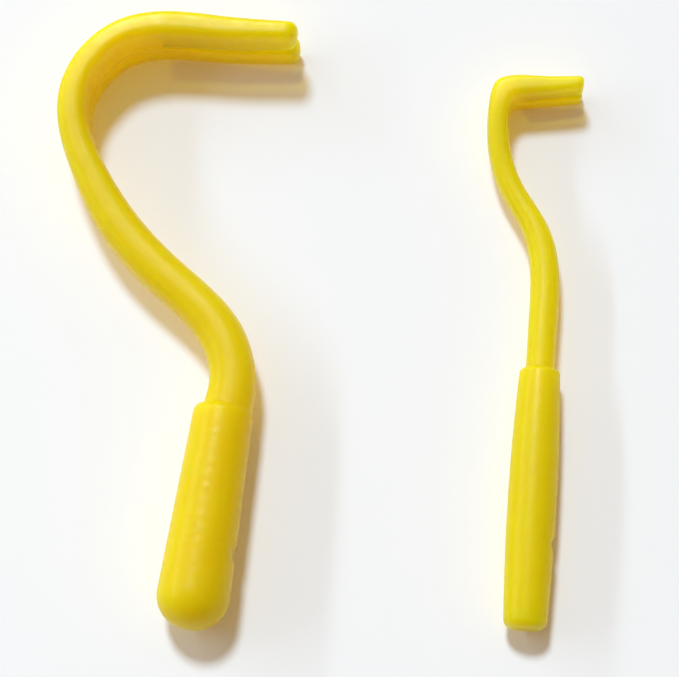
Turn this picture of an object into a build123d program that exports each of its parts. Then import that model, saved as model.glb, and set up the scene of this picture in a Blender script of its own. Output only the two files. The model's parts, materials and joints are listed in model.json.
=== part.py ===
from build123d import *
import os

# Tick-removal hook set: a large and a small hook, each one injection moulding,
# lying on their sides. Millimetres, +Z up. The origin is the middle of the
# set's footprint, on the surface that the hooks lie on.
#
# Each hook is drawn in its own frame first: +Y runs up the handle's axis from
# the butt end, +X is the side that the fork points to, and z = 0 is the middle
# plane, which is also the mould's parting plane. The fork's two tines are one
# above the other in z, with the V-slot between them.

# ---- where the hooks lie ---------------------------------------------------
HANDLE_SPACING = 26.3        # between the two butt ends, along X
LARGE_LEAN = 8.2             # degrees that each handle leans to the right
SMALL_LEAN = 4.8

# ---- large hook ------------------------------------------------------------
LARGE_FORK_WIDTH = 6.2       # across both tines, the hook's height as it lies
LARGE_TIP_X = 1.25           # the fork's end, past the handle's axis
LARGE_BUTT_RADIUS = 2.98     # the handle tapers from here
LARGE_TOP_RADIUS = 2.40      # to here
LARGE_HANDLE_LENGTH = 18.1
LARGE_BUTT_ROUND = 2.80      # almost a half ball
LARGE_SHOULDER_ROUND = 0.65
LARGE_SLOT_ROOT_X = -10.4    # where the V-slot ends, by the bend
LARGE_SLOT_MOUTH = 0.8       # its opening between the tips

# ---- small hook ------------------------------------------------------------
SMALL_FORK_WIDTH = 4.1
SMALL_TIP_X = 2.2
SMALL_BUTT_RADIUS = 1.68
SMALL_BELLY_RADIUS = 1.93    # the handle is slightly barrel-shaped
SMALL_BELLY_Y = 13.0
SMALL_TOP_RADIUS = 1.62
SMALL_HANDLE_LENGTH = 21.1
SMALL_BUTT_ROUND = 0.65
SMALL_SHOULDER_ROUND = 0.42
SMALL_SLOT_ROOT_X = -2.9
SMALL_SLOT_MOUTH = 0.5

# ---- shared details --------------------------------------------------------
SLOT_ROOT_WIDTH = 0.2        # the V's narrow end
GATE_BALL = 1.25             # radius of the dish that the gate leaves below flush
LARGE_GATE = (6.4, 0.38)     # the dish's place up the handle, and its depth
SMALL_GATE = (6.8, 0.24)

# How the swan neck turns into the fork: its width in z and the rounding of its
# long edges, at the handle and at the fork, and the heights between which they change.
# The fork starts out wider by SIDE_TRIM and is then cut to its width by true planes.
SIDE_TRIM = 0.06
LARGE_WIDENING = dict(neck=3.8, fork=LARGE_FORK_WIDTH + SIDE_TRIM, start=24, end=48)
SMALL_WIDENING = dict(neck=2.3, fork=SMALL_FORK_WIDTH + SIDE_TRIM, start=35.5, end=45.5)
LARGE_EDGES = dict(neck=1.80, fork=0.75)
SMALL_EDGES = dict(neck=1.10, fork=0.50)

# The tines end like fingertips: flat is their rounding seen along Z, and finger
# the rounding seen along Y, which opens a notch between the two tips.
LARGE_TIPS = dict(flat=0.60, finger=1.00)
SMALL_TIPS = dict(flat=0.38, finger=0.50)


def eased(law, amount):
    """Go from the neck's value to the fork's, with a gentle start and end."""
    return law["neck"] + (law["fork"] - law["neck"]) * amount


def rib(outer, inner, widening, edges):
    """A cross-section: a rounded rectangle from one outline to the other."""
    across = inner - outer
    middle = (outer + inner) / 2
    progress = (middle.Y - widening["start"]) / (widening["end"] - widening["start"])
    progress = min(max(progress, 0), 1)
    amount = progress * progress * (3 - 2 * progress)
    width = eased(widening, amount)
    edge_round = min(eased(edges, amount), 0.48 * width, 0.48 * across.length)
    plane = Plane(origin=middle, x_dir=across, z_dir=Vector(0, 0, 1).cross(across))
    return plane * RectangleRounded(across.length, width, edge_round)


def skin_over(stretches, widening, edges):
    """One smooth skin: each stretch has an outer and an inner outline and a rib count."""
    ribs = []
    for outer, inner, count in stretches:
        places = [step / count for step in range(count)]
        ribs += [rib(outer @ place, inner @ place, widening, edges) for place in places]
    last_outer, last_inner, _ = stretches[-1]
    ribs.append(rib(last_outer @ 1, last_inner @ 1, widening, edges))
    return loft(ribs)


def large_neck_and_arm():
    """A swan neck, a wide bend of about 90 degrees and a flat, tapering arm."""
    neck_outer = Spline(
        (-1.90, 16.0), (-1.54, 20.2), (-3.00, 23.4), (-8.20, 27.5), (-12.50, 31.4),
        (-15.70, 36.2), (-17.50, 40.4), (-17.75, 43.4), tangents=[(0.04, 1), (0.07, 1)])
    neck_inner = Spline(
        (2.25, 16.0), (2.18, 20.6), (0.50, 24.8), (-5.48, 29.78), (-10.05, 33.6),
        (-13.24, 37.45), (-15.15, 40.9), (-15.40, 43.7), tangents=[(0, 1), (0.09, 1)])
    bend_outer = Spline(
        (-17.75, 43.4), (-16.65, 46.6), (-14.35, 49.25), (-11.30, 50.75),
        tangents=[(0.07, 1), (1, 0.04)])
    bend_inner = Spline(
        (-15.40, 43.7), (-14.55, 46.0), (-13.20, 47.65), (-10.80, 48.6),
        tangents=[(0.09, 1), (1, 0.04)])
    arm_outer = Line((-11.30, 50.75), (LARGE_TIP_X, 51.2))
    arm_inner = Spline(
        (-10.80, 48.6), (-2.70, 49.2), (LARGE_TIP_X, 49.7), tangents=[(1, 0.04), (1, 0.14)])
    stretches = [(neck_outer, neck_inner, 18), (bend_outer, bend_inner, 5), (arm_outer, arm_inner, 6)]
    return skin_over(stretches, LARGE_WIDENING, LARGE_EDGES)


def small_neck_and_arm():
    """A thin round neck, a tight bend with an almost square corner and a short arm."""
    neck_outer = Spline(
        (-1.16, 18.0), (-1.14, 25.0), (-1.24, 29.2), (-1.95, 32.5), (-4.35, 36.7),
        (-5.35, 39.6), (-5.65, 42.6), tangents=[(0, 1), (0, 1)])
    neck_inner = Spline(
        (1.16, 18.0), (1.16, 25.0), (1.08, 29.4), (0.20, 32.9), (-2.40, 37.0),
        (-3.50, 39.8), (-3.87, 42.6), tangents=[(0, 1), (0, 1)])
    bend_outer = Spline(
        (-5.65, 42.6), (-5.42, 44.55), (-5.05, 45.55), (-4.40, 46.05),
        tangents=[(0, 1), (1, 0.05)])
    bend_inner = Spline(
        (-3.87, 42.6), (-3.75, 43.65), (-3.45, 44.18), (-2.90, 44.38),
        tangents=[(0, 1), (1, 0.16)])
    arm_outer = Line((-4.40, 46.05), (SMALL_TIP_X, 46.4))
    arm_inner = Line((-2.90, 44.38), (SMALL_TIP_X, 45.25))
    stretches = [(neck_outer, neck_inner, 26), (bend_outer, bend_inner, 5), (arm_outer, arm_inner, 6)]
    return skin_over(stretches, SMALL_WIDENING, SMALL_EDGES)


def turned(profile):
    """Revolve a half profile, drawn with x as radius, about the handle's axis."""
    return revolve(profile, axis=Axis.Y)


def corner_at(face, y):
    """The outermost corner of a half profile at height y."""
    level = [v for v in face.vertices() if abs(v.Y - y) < 1e-6]
    return max(level, key=lambda v: v.X)


def large_handle():
    """Straight taper, with an almost ball-shaped butt and a rounded shoulder."""
    half = make_face(Polyline(
        (0, 0), (LARGE_BUTT_RADIUS, 0), (LARGE_TOP_RADIUS, LARGE_HANDLE_LENGTH),
        (0, LARGE_HANDLE_LENGTH), close=True))
    half = fillet(corner_at(half, 0), LARGE_BUTT_ROUND)
    half = fillet(corner_at(half, LARGE_HANDLE_LENGTH), LARGE_SHOULDER_ROUND)
    return turned(half)


def small_handle():
    """A slim barrel, with a flat butt and a shoulder all round."""
    side = Spline(
        (SMALL_BUTT_RADIUS, 0), (SMALL_BELLY_RADIUS, SMALL_BELLY_Y),
        (SMALL_TOP_RADIUS, SMALL_HANDLE_LENGTH), tangents=[(0.035, 1), (-0.07, 1)])
    ends = Polyline(
        (SMALL_TOP_RADIUS, SMALL_HANDLE_LENGTH), (0, SMALL_HANDLE_LENGTH),
        (0, 0), (SMALL_BUTT_RADIUS, 0))
    half = make_face(side.edges() + ends.edges())
    half = fillet(corner_at(half, 0), SMALL_BUTT_ROUND)
    half = fillet(corner_at(half, SMALL_HANDLE_LENGTH), SMALL_SHOULDER_ROUND)
    return turned(half)


def v_slot(root_x, tip_x, mouth, arm_y):
    """The wedge that leaves two tines: wide at the tip, narrow by the bend."""
    half_root = SLOT_ROOT_WIDTH / 2
    wedge = Plane.XZ * Polygon(
        (root_x, -half_root), (tip_x, -mouth / 2), (tip_x + 1, -mouth / 2),
        (tip_x + 1, mouth / 2), (tip_x, mouth / 2), (root_x, half_root), align=None)
    return Pos(0, arm_y, 0) * extrude(wedge, 4, both=True)


def gate_dish(radius, place):
    """A shallow dish in the handle's side, where the moulding left its runner."""
    y, depth = place
    return Pos(radius - depth + GATE_BALL, y, 0) * Sphere(GATE_BALL)


def tip_rounder(tip_x, arm_y, arm_thickness, fork_width, mouth, tips):
    """What to cut away so that both tines end in rounded corners, seen both ways."""
    reach = 8
    end = Pos(tip_x - tips["finger"] + reach / 2, 0) * Rectangle(reach, reach)
    inside = Pos(tip_x - reach / 2, 0)
    flat_side = end - inside * RectangleRounded(reach, arm_thickness, tips["flat"])
    tine_width = (fork_width - mouth) / 2
    tine = inside * RectangleRounded(reach, tine_width + 0.02, tips["finger"])
    tine_z = (mouth + tine_width) / 2
    fork_side = end - Pos(0, tine_z) * tine - Pos(0, -tine_z) * tine
    across = extrude(flat_side, reach, both=True)
    through = extrude(Plane.XZ * fork_side, reach, both=True)
    return Pos(0, arm_y, 0) * (across + through)


def flat_sided(neck_and_arm, fork_width):
    """Trim the fork's two outer sides to planes, as wide apart as the fork is."""
    return neck_and_arm & Pos(0, 30, 0) * Box(80, 80, fork_width)


def large_hook():
    hook = large_handle() + flat_sided(large_neck_and_arm(), LARGE_FORK_WIDTH)
    hook -= v_slot(LARGE_SLOT_ROOT_X, LARGE_TIP_X, LARGE_SLOT_MOUTH, 50)
    hook -= tip_rounder(LARGE_TIP_X, 50.44, 1.62, LARGE_FORK_WIDTH, LARGE_SLOT_MOUTH, LARGE_TIPS)
    return hook - gate_dish(2.80, LARGE_GATE)


def small_hook():
    hook = small_handle() + flat_sided(small_neck_and_arm(), SMALL_FORK_WIDTH)
    hook -= v_slot(SMALL_SLOT_ROOT_X, SMALL_TIP_X, SMALL_SLOT_MOUTH, 46)
    hook -= tip_rounder(SMALL_TIP_X, 45.81, 1.25, SMALL_FORK_WIDTH, SMALL_SLOT_MOUTH, SMALL_TIPS)
    return hook - gate_dish(1.86, SMALL_GATE)


def laid_down(hook, butt_x, lean, width):
    """Put a hook on the surface, on its side, leaning about its butt end."""
    return Pos(butt_x, 0, width / 2) * Rot(0, 0, -lean) * hook


def main():
    os.makedirs("parts", exist_ok=True)
    hooks = {
        "large_hook": laid_down(large_hook(), 0, LARGE_LEAN, LARGE_FORK_WIDTH),
        "small_hook": laid_down(small_hook(), HANDLE_SPACING, SMALL_LEAN, SMALL_FORK_WIDTH),
    }
    box = hooks["large_hook"].bounding_box().add(hooks["small_hook"].bounding_box())
    for name, hook in hooks.items():
        placed = Pos(-box.center().X, -box.center().Y, 0) * hook.solid()
        export_step(placed, f"parts/{name}.step")
        size = placed.bounding_box().size
        print(name, f"{placed.volume:.0f} mm3, {size.X:.1f} x {size.Y:.1f} x {size.Z:.1f} mm")
    print(f"footprint {box.size.X:.2f} x {box.size.Y:.2f} mm about {box.center().X:.2f}, {box.center().Y:.2f}")


main()
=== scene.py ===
# %% [markdown]
# # A pair of tick-removal hooks
#
# Two yellow plastic hooks lie side by side on a white surface. Each one is a
# single injection moulding: a round handle, a swan neck, a tight bend and an
# arm that is forked by a V-slot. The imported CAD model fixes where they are.
# This file gives them their looks: the plastic, the light and the camera.

import json
import math

import bmesh
import bpy
import numpy as np
from mathutils import Matrix, Vector


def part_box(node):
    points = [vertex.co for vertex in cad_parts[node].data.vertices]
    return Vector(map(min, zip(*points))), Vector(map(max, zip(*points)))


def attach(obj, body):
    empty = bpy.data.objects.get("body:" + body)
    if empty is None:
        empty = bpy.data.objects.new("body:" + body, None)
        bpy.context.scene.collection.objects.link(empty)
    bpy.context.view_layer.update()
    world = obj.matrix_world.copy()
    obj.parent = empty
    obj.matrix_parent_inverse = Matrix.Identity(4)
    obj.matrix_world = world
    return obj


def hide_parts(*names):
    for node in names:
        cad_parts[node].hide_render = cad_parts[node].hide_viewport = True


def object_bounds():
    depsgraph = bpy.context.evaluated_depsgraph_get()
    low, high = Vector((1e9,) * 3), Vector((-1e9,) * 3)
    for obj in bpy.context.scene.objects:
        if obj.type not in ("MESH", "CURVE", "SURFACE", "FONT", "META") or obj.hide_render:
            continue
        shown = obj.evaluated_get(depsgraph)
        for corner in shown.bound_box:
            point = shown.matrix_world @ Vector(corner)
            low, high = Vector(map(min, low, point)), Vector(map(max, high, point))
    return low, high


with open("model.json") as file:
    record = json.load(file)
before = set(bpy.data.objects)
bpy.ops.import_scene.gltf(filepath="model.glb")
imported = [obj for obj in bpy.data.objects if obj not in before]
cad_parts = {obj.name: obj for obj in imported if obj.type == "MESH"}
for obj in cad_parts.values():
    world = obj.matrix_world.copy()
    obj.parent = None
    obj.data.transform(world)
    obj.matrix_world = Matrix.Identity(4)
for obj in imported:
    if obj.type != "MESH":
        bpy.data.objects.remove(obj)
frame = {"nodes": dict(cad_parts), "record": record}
cad_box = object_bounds()
MM = 0.001
set_centre = (cad_box[0] + cad_box[1]) / 2
set_size = cad_box[1] - cad_box[0]
print("set measures", [round(side / MM, 2) for side in set_size], "mm")

# %% [markdown]
# Two helpers save a lot of typing. Colours are given as sRGB hex
# codes, but a renderer adds light in linear numbers, so every hex colour goes
# through one function. And every shader node is added by one function, which
# takes the node's settings and its inputs and makes the links on the way.

# %% Two helpers


def linear(hex_colour):
    """An sRGB hex colour as linear RGBA."""
    channels = [int(hex_colour[i:i + 2], 16) / 255 for i in (0, 2, 4)]
    return [c / 12.92 if c <= 0.04045 else ((c + 0.055) / 1.055) ** 2.4 for c in channels] + [1.0]


def add(tree, kind, settings=None, **values):
    """Add a node; settings are its properties and values its inputs, each a value or a link's source."""
    node = tree.nodes.new(kind)
    for name, value in (settings or {}).items():
        setattr(node, name, value)
    for name, value in values.items():
        key = int(name[1:]) if name[0] == "i" and name[1:].isdigit() else name.replace("_", " ")
        if isinstance(value, bpy.types.NodeSocket):
            tree.links.new(value, node.inputs[key])
        else:
            node.inputs[key].default_value = value
    return node


print("mid grey 808080 is", round(linear("808080")[0], 3), "in linear light")

# %% [markdown]
# The camera looks down at the hooks, tilted a little from straight overhead
# and standing slightly to their right. Building it from a tilt, a turn and a
# distance is easier to adjust than a bare position, and a look-at matrix made
# from three directions keeps the hooks upright in the picture.


# %% Camera
def aim(obj, eye, target, up=Vector((0, 1, 0))):
    """Stand obj at eye, looking at target: its -Z is the line of sight, its Y is nearest to up."""
    back = (eye - target).normalized()
    right = up.cross(back).normalized()
    turn = Matrix((right, back.cross(right), back)).transposed()
    obj.matrix_world = Matrix.Translation(eye) @ turn.to_4x4()


CAMERA_TILT = math.radians(16.7)     # from straight overhead
CAMERA_TURN = math.radians(8.8)      # round to the right, seen from above
CAMERA_DISTANCE = 173.55 * MM
LENS_MM = 111.3

camera_data = bpy.data.cameras.new("camera")
camera_data.lens = LENS_MM
camera_data.sensor_width = 36
camera = bpy.data.objects.new("camera", camera_data)
bpy.context.scene.collection.objects.link(camera)
bpy.context.scene.camera = camera
camera_target = Vector((set_centre.x + 1.446 * MM, set_centre.y - 1.389 * MM, 0))
line_of_sight = Vector((
    math.sin(CAMERA_TILT) * math.sin(CAMERA_TURN),
    -math.sin(CAMERA_TILT) * math.cos(CAMERA_TURN),
    math.cos(CAMERA_TILT)))
aim(camera, camera_target + CAMERA_DISTANCE * line_of_sight, camera_target)
print("camera stands", [round(c / MM) for c in camera.location], "mm")

# %% [markdown]
# The light is mostly one soft sun behind the hooks and a little to their
# left. It makes the broad pale band along the top of each arm and throws the
# shadows forwards. Its disc is 11 degrees wide, which blurs the shadows as a
# nearby window would. A tall narrow window on the left draws a second, faint
# streak down the handles.

# %% Light
def towards(x, y, z):
    """A direction from the object to a lamp, as a unit vector."""
    return Vector((x, y, z)).normalized()


def lamp(name, direction, distance, width, height, power):
    """A rectangular soft box that faces the middle of the set."""
    data = bpy.data.lights.new(name, "AREA")
    data.shape = "RECTANGLE"
    data.size, data.size_y = width, height
    data.energy = power
    obj = bpy.data.objects.new(name, data)
    bpy.context.scene.collection.objects.link(obj)
    middle = Vector((set_centre.x, set_centre.y, 0))
    aim(obj, middle + distance * direction, middle)
    return obj


SUN_STRENGTH = 2.31
SUN_WIDTH = math.radians(11)         # wider than the real sun's half degree, for soft shadows
key_data = bpy.data.lights.new("key", "SUN")
key_data.energy = SUN_STRENGTH
key_data.angle = SUN_WIDTH
key = bpy.data.objects.new("key", key_data)
bpy.context.scene.collection.objects.link(key)
middle = Vector((set_centre.x, set_centre.y, 0))
aim(key, middle + 0.5 * towards(-0.155, 0.60, 1.0), middle)

lamp("left_window", towards(-0.80, 0.33, 0.50), distance=0.45, width=0.03, height=0.5, power=0.75)

# %% [markdown]
# The room around is dim and uneven: brighter up behind, darker in front. The
# dot product of a direction with the bright one runs from -1 to 1, and
# a map from that range to a strength makes a smooth sky without any picture.

# %% Room
ROOM_DARK, ROOM_BRIGHT = 0.045, 0.33
ROOM_TINT = (1.0, 0.985, 0.93, 1)    # slightly warm
world = bpy.data.worlds.new("studio")
bpy.context.scene.world = world
world.use_nodes = True
sky = world.node_tree
background = sky.nodes["Background"]
gaze = add(sky, "ShaderNodeTexCoord").outputs["Generated"]
facing = add(sky, "ShaderNodeVectorMath", dict(operation="DOT_PRODUCT"), i0=gaze, i1=towards(-0.5, 0.8, 0.45))
level = add(sky, "ShaderNodeMapRange", Value=facing.outputs["Value"], From_Min=-0.8, From_Max=0.9,
            To_Min=ROOM_DARK, To_Max=ROOM_BRIGHT)
sky.links.new(level.outputs["Result"], background.inputs["Strength"])
background.inputs["Color"].default_value = ROOM_TINT
bpy.context.scene.view_settings.view_transform = "Standard"
print("the room's light runs from", ROOM_DARK, "to", ROOM_BRIGHT)


# %% [markdown]
# ## The hooks' skins
#
# The CAD solids have flat-sided forks, because a flat face is easy to measure
# and to rest on. A real moulding is softer: its sections are ovals, its edges
# melt into its sides and its handle is faintly rippled where the plastic
# froze in waves. So each hook gets a skin that is worked out as one grid:
# rings of points, stacked from the butt end to the tips of the fork.
#
# The skins are for looking at. On average they stand 0.03 to 0.05 mm from the
# solids, but up to 0.4 mm at the bends, and the gate is a straight nick where
# the solids have a round dish. Anything measured is measured on the solids.
#
# The grid's two directions are the station, which counts rings, and the place
# round the ring. Arrays hold all rings at once, so nothing loops over points.

# %% Smooth lines through a few points


def smooth_line(points, knots, start, end):
    """The cubic spline through points: between two knots each coordinate is the cubic that
    meets its neighbours with equal slope and bend; start and end are the slopes at the ends."""
    points, knots = np.asarray(points, float), np.asarray(knots, float)
    gap, rise = np.diff(knots)[:, None], np.diff(points, axis=0)
    size = len(points)
    system = np.zeros((size, size))
    middle = np.arange(1, size - 1)
    system[0, 0] = system[-1, -1] = 1
    system[middle, middle - 1] = gap[1:, 0]
    system[middle, middle] = 2 * (gap[1:, 0] + gap[:-1, 0])
    system[middle, middle + 1] = gap[:-1, 0]
    wanted = 3 * (rise[:-1] / gap[:-1] * gap[1:] + rise[1:] / gap[1:] * gap[:-1])
    slopes = np.linalg.solve(system, np.vstack([start, wanted, end]))

    def at(where):
        """Points of the line at the knot values in where, by the four Hermite blends."""
        cell = np.clip(np.searchsorted(knots, where, side="right") - 1, 0, size - 2)
        span = gap[cell]
        part = ((where - knots[cell]) / span[:, 0])[:, None]
        return (points[cell] * (1 + 2 * part) * (1 - part) ** 2
                + points[cell + 1] * (3 - 2 * part) * part ** 2
                + slopes[cell] * span * part * (1 - part) ** 2
                - slopes[cell + 1] * span * (1 - part) * part ** 2)

    return at


def eased(part):
    """Nought to one with a gentle start and end: three parts squared less two cubed."""
    part = np.clip(part, 0, 1)
    return part * part * (3 - 2 * part)


# %% [markdown]
# Each hook is described in its own frame, in millimetres: +Y runs up the
# handle's axis from the butt end, +X is the side that the fork points to and
# z = 0 is the middle plane. Outer and inner outlines have their points in
# pairs, so that a ring can stand between the two points of each pair.

# %% What each hook measures
LARGE = dict(
    outer=[(-1.90, 16.0), (-1.54, 20.2), (-3.00, 23.4), (-8.20, 27.5), (-12.50, 31.4),
           (-15.74, 36.2), (-17.58, 40.4), (-17.80, 43.4), (-16.75, 46.6), (-14.42, 49.28),
           (-11.30, 50.70), (-5.00, 51.06), (1.25, 51.24)],
    inner=[(2.25, 16.0), (2.18, 20.6), (0.50, 24.8), (-5.48, 29.78), (-10.05, 33.6),
           (-13.24, 37.45), (-15.12, 40.9), (-15.32, 43.7), (-14.40, 45.95), (-13.05, 47.5),
           (-10.70, 48.42), (-5.00, 48.82), (1.25, 49.52)],
    handle=18.1, butt_round=2.80, shoulder_round=0.65,
    radius=lambda y: 2.98 - 0.58 * y / 18.1,
    neck_width=3.8, fork_width=6.2, widens=(24, 48), roundness=(2.4, 4.6),
    slot_x=-10.4, mouth=0.8, finger=1.00, flat=0.60,
    gate=(2.78, 6.4, 0.34), step=0.16, ripple=0.006)
SMALL = dict(
    outer=[(-1.16, 18.0), (-1.14, 25.0), (-1.24, 29.2), (-1.95, 32.5), (-4.35, 36.7),
           (-5.31, 39.6), (-5.61, 42.6), (-5.46, 44.75), (-5.10, 45.58), (-4.40, 45.96),
           (-1.20, 46.16), (2.20, 46.34)],
    inner=[(1.16, 18.0), (1.16, 25.0), (1.08, 29.4), (0.20, 32.9), (-2.40, 37.0),
           (-3.50, 39.8), (-3.85, 42.6), (-3.70, 43.60), (-3.38, 44.10), (-2.80, 44.28),
           (-0.40, 44.68), (2.20, 45.12)],
    handle=21.1, butt_round=0.65, shoulder_round=0.42,
    radius=lambda y: 1.68 + 0.0547 * y - 0.002725 * y * y,
    neck_width=2.3, fork_width=4.1, widens=(35.5, 45.5), roundness=(2.3, 4.6),
    slot_x=-2.9, mouth=0.5, finger=0.50, flat=0.38,
    gate=(1.90, 6.8, 0.22), step=0.11, ripple=0.003)
SLOT_ROOT = 0.2          # the V-slot's narrow end
GATE_CUTTER = 1.0        # radius of the round cutter that took the gate off
BELOW_SHOULDER = 0.9     # the neck's rings start this far below the shoulder
HANDLE_STOP = 0.93       # and the handle's rings end this far below it
DENSE_RUN, DENSE_STEP = 1.4, 0.05    # over the shoulder the neck's rings stand this close
HANDLE_STEP = 0.11       # spacing of the handle's rings
HALF_RING = 56           # points over the top of a ring, and as many under it
WALL = 9                 # points across each wall of the slot
PARTING_RIDGE = 0.018    # how far the mould's parting line stands out


# %% [markdown]
# A ring is an oval of the family x to the n plus z to the n: two gives an
# ellipse and more gives a fuller, squarer oval. The neck is nearly round and
# the fork is fuller, so n grows on the way. A ring has an upper and a lower
# half, which keep a narrow strip between them at the middle plane. On the
# body the strip is the faint ridge that the two halves of the mould leave.
# Along the fork the strip is left out, and the gap there is the V-slot.

# %% Rings of the neck and the fork


def ovals(half_across, half_width, fullness, gap, edge):
    """Upper halves of the ovals: in place u from 0 to pi, across is the cosine and height the
    sine, each to the power 2/n and with its own sign. u starts where the height is half the gap
    plus edge, and one corner point more, nearer the gap, rounds the ring off there."""
    columns = [np.asarray(v, float)[:, None] for v in (half_across, half_width, fullness, gap, edge)]
    half_across, half_width, fullness, gap, edge = columns
    first = np.arcsin(np.clip((gap / 2 + edge) / half_width, 0, 1) ** (fullness / 2))
    share = np.linspace(0, 1, HALF_RING - 2)[None, :]
    u = first + (np.pi - 2 * first) * share
    across = half_across * np.sign(np.cos(u)) * np.abs(np.cos(u)) ** (2 / fullness)
    height = half_width * np.sin(u) ** (2 / fullness)
    corner = np.hstack([half_across - 0.3 * edge, gap / 2 + 0.3 * edge])
    across = np.hstack([corner[:, :1], across, -corner[:, :1]])
    height = np.hstack([corner[:, 1:], height, corner[:, 1:]])
    return across, height


def mean_knots(outer, inner):
    """Knots for paired outlines: the mean distance from pair to pair, added up."""
    runs = [np.linalg.norm(np.diff(np.asarray(line, float), axis=0), axis=1) for line in (outer, inner)]
    return np.concatenate([[0], np.cumsum(np.mean(runs, axis=0))])


def hook_rings(hook):
    """A dictionary of arrays with one row per ring: where it stands and which way it faces, its
    upper half as x and z, its sizes, the slot's gap and root, and the length left to the tip."""
    knots = mean_knots(hook["outer"], hook["inner"])
    outer_line = smooth_line(hook["outer"], knots, (0.02, 1), (1, 0.03))
    inner_line = smooth_line(hook["inner"], knots, (0, 1), (1, 0.09))
    first = hook["handle"] - hook["outer"][0][1] - BELOW_SHOULDER
    dense, end = first + DENSE_RUN, knots[-1] - hook["finger"]
    tip = hook["finger"] * np.sin(np.linspace(0, np.pi / 2, 14))
    along = np.concatenate([np.arange(first, dense, DENSE_STEP),
                            np.arange(dense, end - DENSE_STEP, hook["step"]), end + tip])
    outer, inner = outer_line(along), inner_line(along)
    middle, across = (outer + inner) / 2, inner - outer
    thickness = np.linalg.norm(across, axis=1)
    across /= thickness[:, None]
    low, high = hook["widens"]
    amount = eased((middle[:, 1] - low) / (high - low))
    width = hook["neck_width"] + (hook["fork_width"] - hook["neck_width"]) * amount
    fullness = hook["roundness"][0] + (hook["roundness"][1] - hook["roundness"][0]) * amount
    tip_x = hook["outer"][-1][0]
    in_fork = np.clip((middle[:, 0] - hook["slot_x"]) / (tip_x - hook["slot_x"]), 0, 1)
    in_fork[along < knots[-4]] = 0
    gap = SLOT_ROOT + (hook["mouth"] - SLOT_ROOT) * in_fork
    edge = 0.015 + 0.045 * eased(in_fork * 12)
    x, z = ovals(thickness / 2, width / 2, fullness, gap, edge)
    root = int(np.argmax(in_fork > 0))
    ridge = np.where(np.arange(len(along)) < root, PARTING_RIDGE, 0)
    x[:, 0] += ridge
    x[:, -1] -= ridge
    return dict(x=x, z=z, middle=middle, across=across, root=root, gap=gap, edge=edge,
                half=thickness / 2, width=width, left=knots[-1] - along)


# %% [markdown]
# The handle is turned: its rings are circles about the axis, with a radius
# that follows the handle's profile. Where the neck grows out of it, each
# point goes to whichever is further out, the neck's oval or the handle's
# circle. A soft maximum does that and leaves a small hollow fillet, as a
# mould cut with a ball-ended tool has.

# %% The handle, its shoulder and its ripple


def soft_max(one, other, blend):
    """The larger of two numbers, raised a little where they are closer than blend."""
    near = np.clip(1 - np.abs(one - other) / blend, 0, 1)
    return np.maximum(one, other) + blend * near ** 3 / 6


def handle_radius(hook, y):
    """The profile's radius: the taper, less a quarter circle's drop at each end."""
    radius = hook["radius"](np.clip(y, 0, hook["handle"]))
    butt = np.clip(hook["butt_round"] - y, 0, hook["butt_round"])
    radius = radius - hook["butt_round"] + np.sqrt(hook["butt_round"] ** 2 - butt ** 2)
    over = np.clip(y - hook["handle"] + hook["shoulder_round"], 0, hook["shoulder_round"])
    radius = radius - hook["shoulder_round"] + np.sqrt(hook["shoulder_round"] ** 2 - over ** 2)
    return radius - 4 * np.clip(y - hook["handle"], 0, 0.3)


def ripple(hook, angle, y):
    """Frozen waves in the plastic: twelve sines with seeded lengths and phases, faded at the ends."""
    rng = np.random.default_rng(7)
    height = np.zeros(np.broadcast(angle, y).shape)
    for wave_length, turns, phase in zip(
            rng.uniform(0.62, 1.25, 12), rng.integers(-9, 10, 12), rng.uniform(0, 6.28, 12)):
        height += np.sin(2 * np.pi * y / wave_length + turns * angle + phase)
    ends = eased((y - 1.5) / 3) * eased((hook["handle"] - 0.4 - y) / 2)
    return hook["ripple"] * ends * height / math.sqrt(12)


def notched(hook, points):
    """The nick where the gate was cut off: x is never more than the round cutter's edge allows."""
    radius, y, depth = hook["gate"]
    within = np.clip(GATE_CUTTER ** 2 - (points[..., 1] - y) ** 2, 0, None)
    edge = radius - depth + GATE_CUTTER - np.sqrt(within)
    points[..., 0] = np.minimum(points[..., 0], edge)
    return points


def handle_rings(hook, compass):
    """Circles from the butt end to below the shoulder; compass holds the ring's unit directions."""
    turn = np.linspace(0, np.pi / 2, 18)
    butt = 0.01 + (hook["butt_round"] - 0.01) * (1 - np.cos(turn))
    y = np.concatenate([butt[:-1], np.arange(hook["butt_round"], hook["handle"] - HANDLE_STOP, HANDLE_STEP)])
    y = y[:, None]
    angle = np.arctan2(compass[:, 1], compass[:, 0])[None, :]
    radius = handle_radius(hook, y) + ripple(hook, angle, y)
    rings = np.stack([radius * compass[None, :, 0], y + 0 * angle, radius * compass[None, :, 1]], axis=-1)
    return notched(hook, rings)


# %% [markdown]
# The ends of the tines are rounded like fingertips: towards the tip each
# ring shrinks about the middle of its own tine, by as much as a quarter
# circle falls away. The slot's walls are straight lines across the arm, and
# they shrink with the rings that they belong to.

# %% The neck, the fork and its slot


def fall(radius, left):
    """How far a quarter circle of that radius has fallen away, left before its end."""
    reach = np.clip(radius - left, 0, radius)
    return radius - np.sqrt(radius ** 2 - reach ** 2)


def fingertips(hook, path, x, z):
    """Shrink upper half rings, or upper wall lines, towards the tine's middle near its end."""
    left = path["left"][:, None]
    middle_z = (path["gap"] + path["width"])[:, None] / 4
    half_z = (path["width"] - path["gap"])[:, None] / 4
    half_x = path["half"][:, None]
    x = x * (1 - fall(hook["flat"], left) / half_x)
    return x, middle_z + (z - middle_z) * (1 - fall(hook["finger"], left) / half_z)


def in_space(path, x, z):
    """Points at x across the ring's plane and z above the middle plane."""
    flat = path["middle"][:, None, :] + x[:, :, None] * path["across"][:, None, :]
    return np.concatenate([flat, z[:, :, None]], axis=-1)


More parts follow.
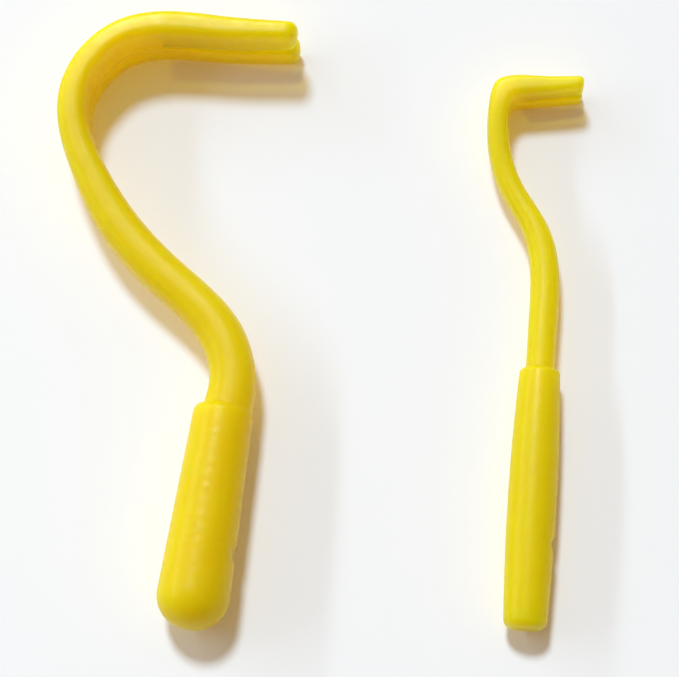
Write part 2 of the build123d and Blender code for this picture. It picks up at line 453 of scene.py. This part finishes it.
def neck_rings(hook, path):
    """Whole rings from the shoulder to the tips, merged with the handle's rounded shoulder."""
    x, z = fingertips(hook, path, path["x"], path["z"])
    rings = in_space(path, np.hstack([x, x[:, ::-1]]), np.hstack([z, -z[:, ::-1]]))
    low = rings[:, :, 1] < hook["handle"] + 0.3
    reach = np.hypot(rings[:, :, 0], rings[:, :, 2])
    wanted = soft_max(reach, handle_radius(hook, rings[:, :, 1]), 0.40)
    grow = np.where(low & (path["middle"][:, 1] < hook["handle"] + 1)[:, None], wanted / reach, 1)
    rings[:, :, 0] *= grow
    rings[:, :, 2] *= grow
    return rings


def slot_walls(hook, path):
    """The upper and the lower wall of the V-slot, one line for each ring of the fork."""
    share = np.linspace(-1, 1, WALL)[None, :]
    x = share * (path["half"] - path["edge"])[:, None]
    z = 0 * x + path["gap"][:, None] / 2
    x, z = fingertips(hook, path, x, z)
    x, z = x[path["root"]:], z[path["root"]:]
    fork = {name: path[name][path["root"]:] for name in ("middle", "across")}
    return in_space(fork, x, z), in_space(fork, x, -z)


# %% [markdown]
# The faces join neighbouring points of neighbouring rings. Along the fork
# the two strips at the middle plane are left open and the slot's walls close
# each tine. A short web, the crotch, joins the walls where the slot ends, and
# fans of triangles close the butt end and the two tips.

# %% Join the rings into a closed skin


def between(one, other):
    """Quads between two index arrays of the same shape, (rows, points) each: row by row."""
    quads = np.stack([one[:, :-1], one[:, 1:], other[:, 1:], other[:, :-1]], axis=-1)
    return quads.reshape(-1, 4).tolist()


def fan(loop, centre):
    """Triangles from each edge of a closed loop to the centre point."""
    return np.stack([loop, np.roll(loop, -1), 0 * loop + centre], axis=-1).tolist()


def hook_skin(name, hook, place):
    """Build one hook's mesh; place carries it from its own frame to where it lies."""
    path = hook_rings(hook)
    neck = neck_rings(hook, path)
    compass = neck[0][:, [0, 2]] / np.hypot(neck[0][:, 0], neck[0][:, 2])[:, None]
    handle = handle_rings(hook, compass)
    upper, lower = slot_walls(hook, path)
    rings = np.concatenate([handle, neck])
    root = len(handle) + path["root"]
    count, round_count = rings.shape[:2]
    half = round_count // 2
    skin = np.arange(count * round_count).reshape(count, round_count)
    up = skin.size + np.arange(upper[..., 0].size).reshape(upper.shape[:2])
    down = up[-1, -1] + 1 + np.arange(up.size).reshape(up.shape)
    points = np.concatenate([rings.reshape(-1, 3), upper.reshape(-1, 3), lower.reshape(-1, 3)])

    faces = between(skin[:-1, :half], skin[1:, :half]) + between(skin[:-1, half:], skin[1:, half:])
    for pair in ([half - 1, half], [round_count - 1, 0]):
        faces += between(skin[:root][:, pair], skin[1:root + 1][:, pair])
    up_lines = np.hstack([skin[root:, [half - 1]], up, skin[root:, [0]]])
    down_lines = np.hstack([skin[root:, [half]], down, skin[root:, [-1]]])
    for lines in (up_lines, down_lines):
        faces += between(lines[:-1], lines[1:])
    faces += between(up_lines[:1], down_lines[:1])

    tips = [np.concatenate([skin[-1, :half], up[-1]]), np.concatenate([skin[-1, half:], down[-1, ::-1]])]
    for loop in [skin[0]] + tips:
        faces += fan(loop, len(points))
        points = np.vstack([points, points[loop].mean(axis=0)])

    mesh = bpy.data.meshes.new(name)
    mesh.from_pydata((points @ place[:3, :3].T * MM + place[:3, 3]).tolist(), [], faces)
    work = bmesh.new()
    work.from_mesh(mesh)
    bmesh.ops.recalc_face_normals(work, faces=work.faces)
    loose = sum(not edge.is_manifold for edge in work.edges)
    work.to_mesh(mesh)
    work.free()
    mesh.shade_smooth()
    walls = np.zeros(len(points), np.float32)
    walls[up.min():down.max() + 1] = 1
    mesh.attributes.new("slot_wall", "FLOAT", "POINT").data.foreach_set("value", walls)
    obj = bpy.data.objects.new(name, mesh)
    bpy.context.scene.collection.objects.link(obj)
    print(name, len(points), "points,", len(faces), "faces,", loose, "open edges")
    return obj


# %% [markdown]
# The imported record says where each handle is: its grip mount lies on the
# handle's axis and points to the butt end. That fixes the hook's own frame.

# %% Lay both skins where the CAD hooks lie


def hook_place(mount_name, up_the_handle):
    """How a hook's own frame stands in the row's: its Y runs against the mount's axis, the mount
    is up_the_handle mm from the butt end, and the shift is in metres."""
    mount = next(m for m in frame["record"]["mounts"] if m["name"] == mount_name)
    up = -np.array(mount["axis"], float)
    up /= np.linalg.norm(up)
    side = np.cross(up, (0, 0, 1))
    place = np.eye(4)
    place[:3, 0], place[:3, 1], place[:3, 2] = side, up, (0, 0, 1)
    place[:3, 3] = np.array(mount["pos_m"]) - up_the_handle * MM * up
    return place


large_place = hook_place("large_grip", up_the_handle=9.0)
small_place = hook_place("small_grip", up_the_handle=10.5)
large_skin = hook_skin("large_hook_skin", LARGE, large_place)
small_skin = hook_skin("small_hook_skin", SMALL, small_place)
for skin_piece, body, node in ((large_skin, "large", "large_hook"), (small_skin, "small", "small_hook")):
    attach(skin_piece, body)
    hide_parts(node)
    low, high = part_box(node)
    spots = np.empty(len(skin_piece.data.vertices) * 3, np.float32)
    skin_piece.data.vertices.foreach_get("co", spots)
    spots = spots.reshape(-1, 3)
    past = np.concatenate([np.array(low) - spots.min(axis=0), spots.max(axis=0) - np.array(high)]) / MM
    print(node, "skin is past its CAD box by at most", round(float(past.max()), 3), "mm")


# %% [markdown]
# ## Materials
#
# The hooks are polypropylene, injection moulded in solid yellow. Light goes
# into it and comes out again elsewhere, red furthest and blue hardly at all,
# so the shaded sides glow orange instead of turning grey. That is subsurface
# scattering. Lamps also shine through the hooks and warm their shadows: for
# shadow rays alone the shader becomes a tinted clear one, darker at the thick
# handles. A ray crosses two walls, so the tint counts twice.
#
# Some numbers here are chosen for the look and not measured. The scattering
# distance is longer than is likely in solid polypropylene, the gloss is weaker
# than an index of 1.49 gives, and the three tints for shadow rays were tried
# until the shadows looked right. Reuse them with care.
#
# Nothing moulded is perfectly even, so the pigment clouds over about 4.5 mm,
# the gloss changes over about 1 mm, and two bump maps give the surface a
# fine grain and slight sink waves.

# %% Yellow polypropylene
PIGMENT = linear("DDC500")           # where the plastic is thick and evenly coloured
PIGMENT_DEEP = linear("D6BA00")      # where the pigment flowed a little denser
THROUGH = (0.65, 0.48, 0.02, 1)      # what one wall of the neck or arm lets through of a lamp's light
THROUGH_THICK = (0.50, 0.34, 0.02, 1)    # the same for the thicker handles
THROUGH_SLOT = (0.85, 0.75, 0.50, 1)     # the same for the slot's walls, between two thin tines
SCATTER_MM = 14.0                    # how far red light wanders, stretched for the look
SCATTER_SHARES = (1.0, 0.60, 0.03)   # green and blue wander less
SPECULAR = 0.22                      # 0.5 would be the full reflection of the index below
PLASTIC_IOR = 1.49

plastic = bpy.data.materials.new("polypropylene_yellow_moulded")
plastic.use_nodes = True
tree = plastic.node_tree
bsdf = tree.nodes["Principled BSDF"]
place = add(tree, "ShaderNodeTexCoord").outputs["Object"]
clouds = add(tree, "ShaderNodeTexNoise", Vector=place, Scale=1 / (4.5 * MM), Detail=3.0, Roughness=0.6)
pigment = add(tree, "ShaderNodeMix", dict(data_type="RGBA"), i0=clouds.outputs["Fac"],
              i6=PIGMENT, i7=PIGMENT_DEEP)
patches = add(tree, "ShaderNodeTexNoise", Vector=place, Scale=1 / (1.1 * MM), Detail=4.0)
gloss = add(tree, "ShaderNodeMapRange", Value=patches.outputs["Fac"], From_Min=0.3, From_Max=0.7,
            To_Min=0.33, To_Max=0.44)
grain = add(tree, "ShaderNodeTexNoise", Vector=place, Scale=1 / (0.35 * MM), Detail=3.0)
waves = add(tree, "ShaderNodeTexNoise", Vector=place, Scale=1 / (1.6 * MM), Detail=1.0)
fine = add(tree, "ShaderNodeBump", Height=grain.outputs["Fac"], Strength=0.5, Distance=0.012 * MM)
relief = add(tree, "ShaderNodeBump", Height=waves.outputs["Fac"], Strength=0.6, Distance=0.05 * MM,
             Normal=fine.outputs["Normal"])
for name, value in (("Base Color", pigment.outputs[2]), ("Roughness", gloss.outputs["Result"]),
                    ("Normal", relief.outputs["Normal"])):
    tree.links.new(value, bsdf.inputs[name])
for name, value in (("IOR", PLASTIC_IOR), ("Specular IOR Level", SPECULAR), ("Subsurface Weight", 1.0),
                    ("Subsurface Radius", SCATTER_SHARES), ("Subsurface Scale", SCATTER_MM * MM)):
    bsdf.inputs[name].default_value = value
lamp_ray = add(tree, "ShaderNodeLightPath").outputs["Is Shadow Ray"]
up_row = add(tree, "ShaderNodeSeparateXYZ", Vector=place).outputs["Y"]
slim = add(tree, "ShaderNodeMapRange", Value=up_row, From_Min=-9 * MM, From_Max=-4 * MM)
body_tint = add(tree, "ShaderNodeMix", dict(data_type="RGBA"), i0=slim.outputs["Result"],
                i6=THROUGH_THICK, i7=THROUGH)
walls = add(tree, "ShaderNodeAttribute", dict(attribute_name="slot_wall")).outputs["Fac"]
tint = add(tree, "ShaderNodeMix", dict(data_type="RGBA"), i0=walls, i6=body_tint.outputs[2], i7=THROUGH_SLOT)
clear = add(tree, "ShaderNodeBsdfTransparent", Color=tint.outputs[2])
both = add(tree, "ShaderNodeMixShader", i0=lamp_ray, i1=bsdf.outputs["BSDF"], i2=clear.outputs["BSDF"])
tree.links.new(both.outputs["Shader"], tree.nodes["Material Output"].inputs["Surface"])

print(plastic.name, "has", len(tree.nodes), "nodes")

# %% [markdown]
# The hooks lie on white matt paper. It has a slight tooth and no gloss, so
# that nothing on it draws the eye away from the hooks.

# %% Paper, and who gets which material
paper = bpy.data.materials.new("paper_white")
paper.use_nodes = True
tree = paper.node_tree
floor_bsdf = tree.nodes["Principled BSDF"]
place = add(tree, "ShaderNodeTexCoord").outputs["Object"]
fibres = add(tree, "ShaderNodeTexNoise", Vector=place, Scale=1 / (0.6 * MM), Detail=5.0)
tooth = add(tree, "ShaderNodeBump", Height=fibres.outputs["Fac"], Strength=0.3, Distance=0.01 * MM)
tree.links.new(tooth.outputs["Normal"], floor_bsdf.inputs["Normal"])
for name, value in (("Base Color", linear("F4F6F9")), ("Roughness", 0.9), ("Specular IOR Level", 0.0)):
    floor_bsdf.inputs[name].default_value = value

for node_object in list(frame["nodes"].values()) + [large_skin, small_skin]:
    node_object.data.materials.clear()
    node_object.data.materials.append(plastic)

print("plastic on", [o.name for o in list(frame["nodes"].values()) + [large_skin, small_skin]])

# %% [markdown]
# The floor is one large quad at z = 0, the surface that the hooks rest on.

# %% Floor
half = 0.6                           # metres from the middle to each edge
corners = np.array([(-half, -half, 0), (half, -half, 0), (half, half, 0), (-half, half, 0)], float)
floor_mesh = bpy.data.meshes.new("floor")
floor_mesh.from_pydata(corners.tolist(), [], [(0, 1, 2, 3)])
floor = bpy.data.objects.new("floor", floor_mesh)
bpy.context.scene.collection.objects.link(floor)
floor_mesh.materials.append(paper)

print("floor", floor.dimensions[:2], "m")

# %% [markdown]
# Last, the view layer is updated, so that every object's place and
# parent are current.

# %% Finish
bpy.context.view_layer.update()
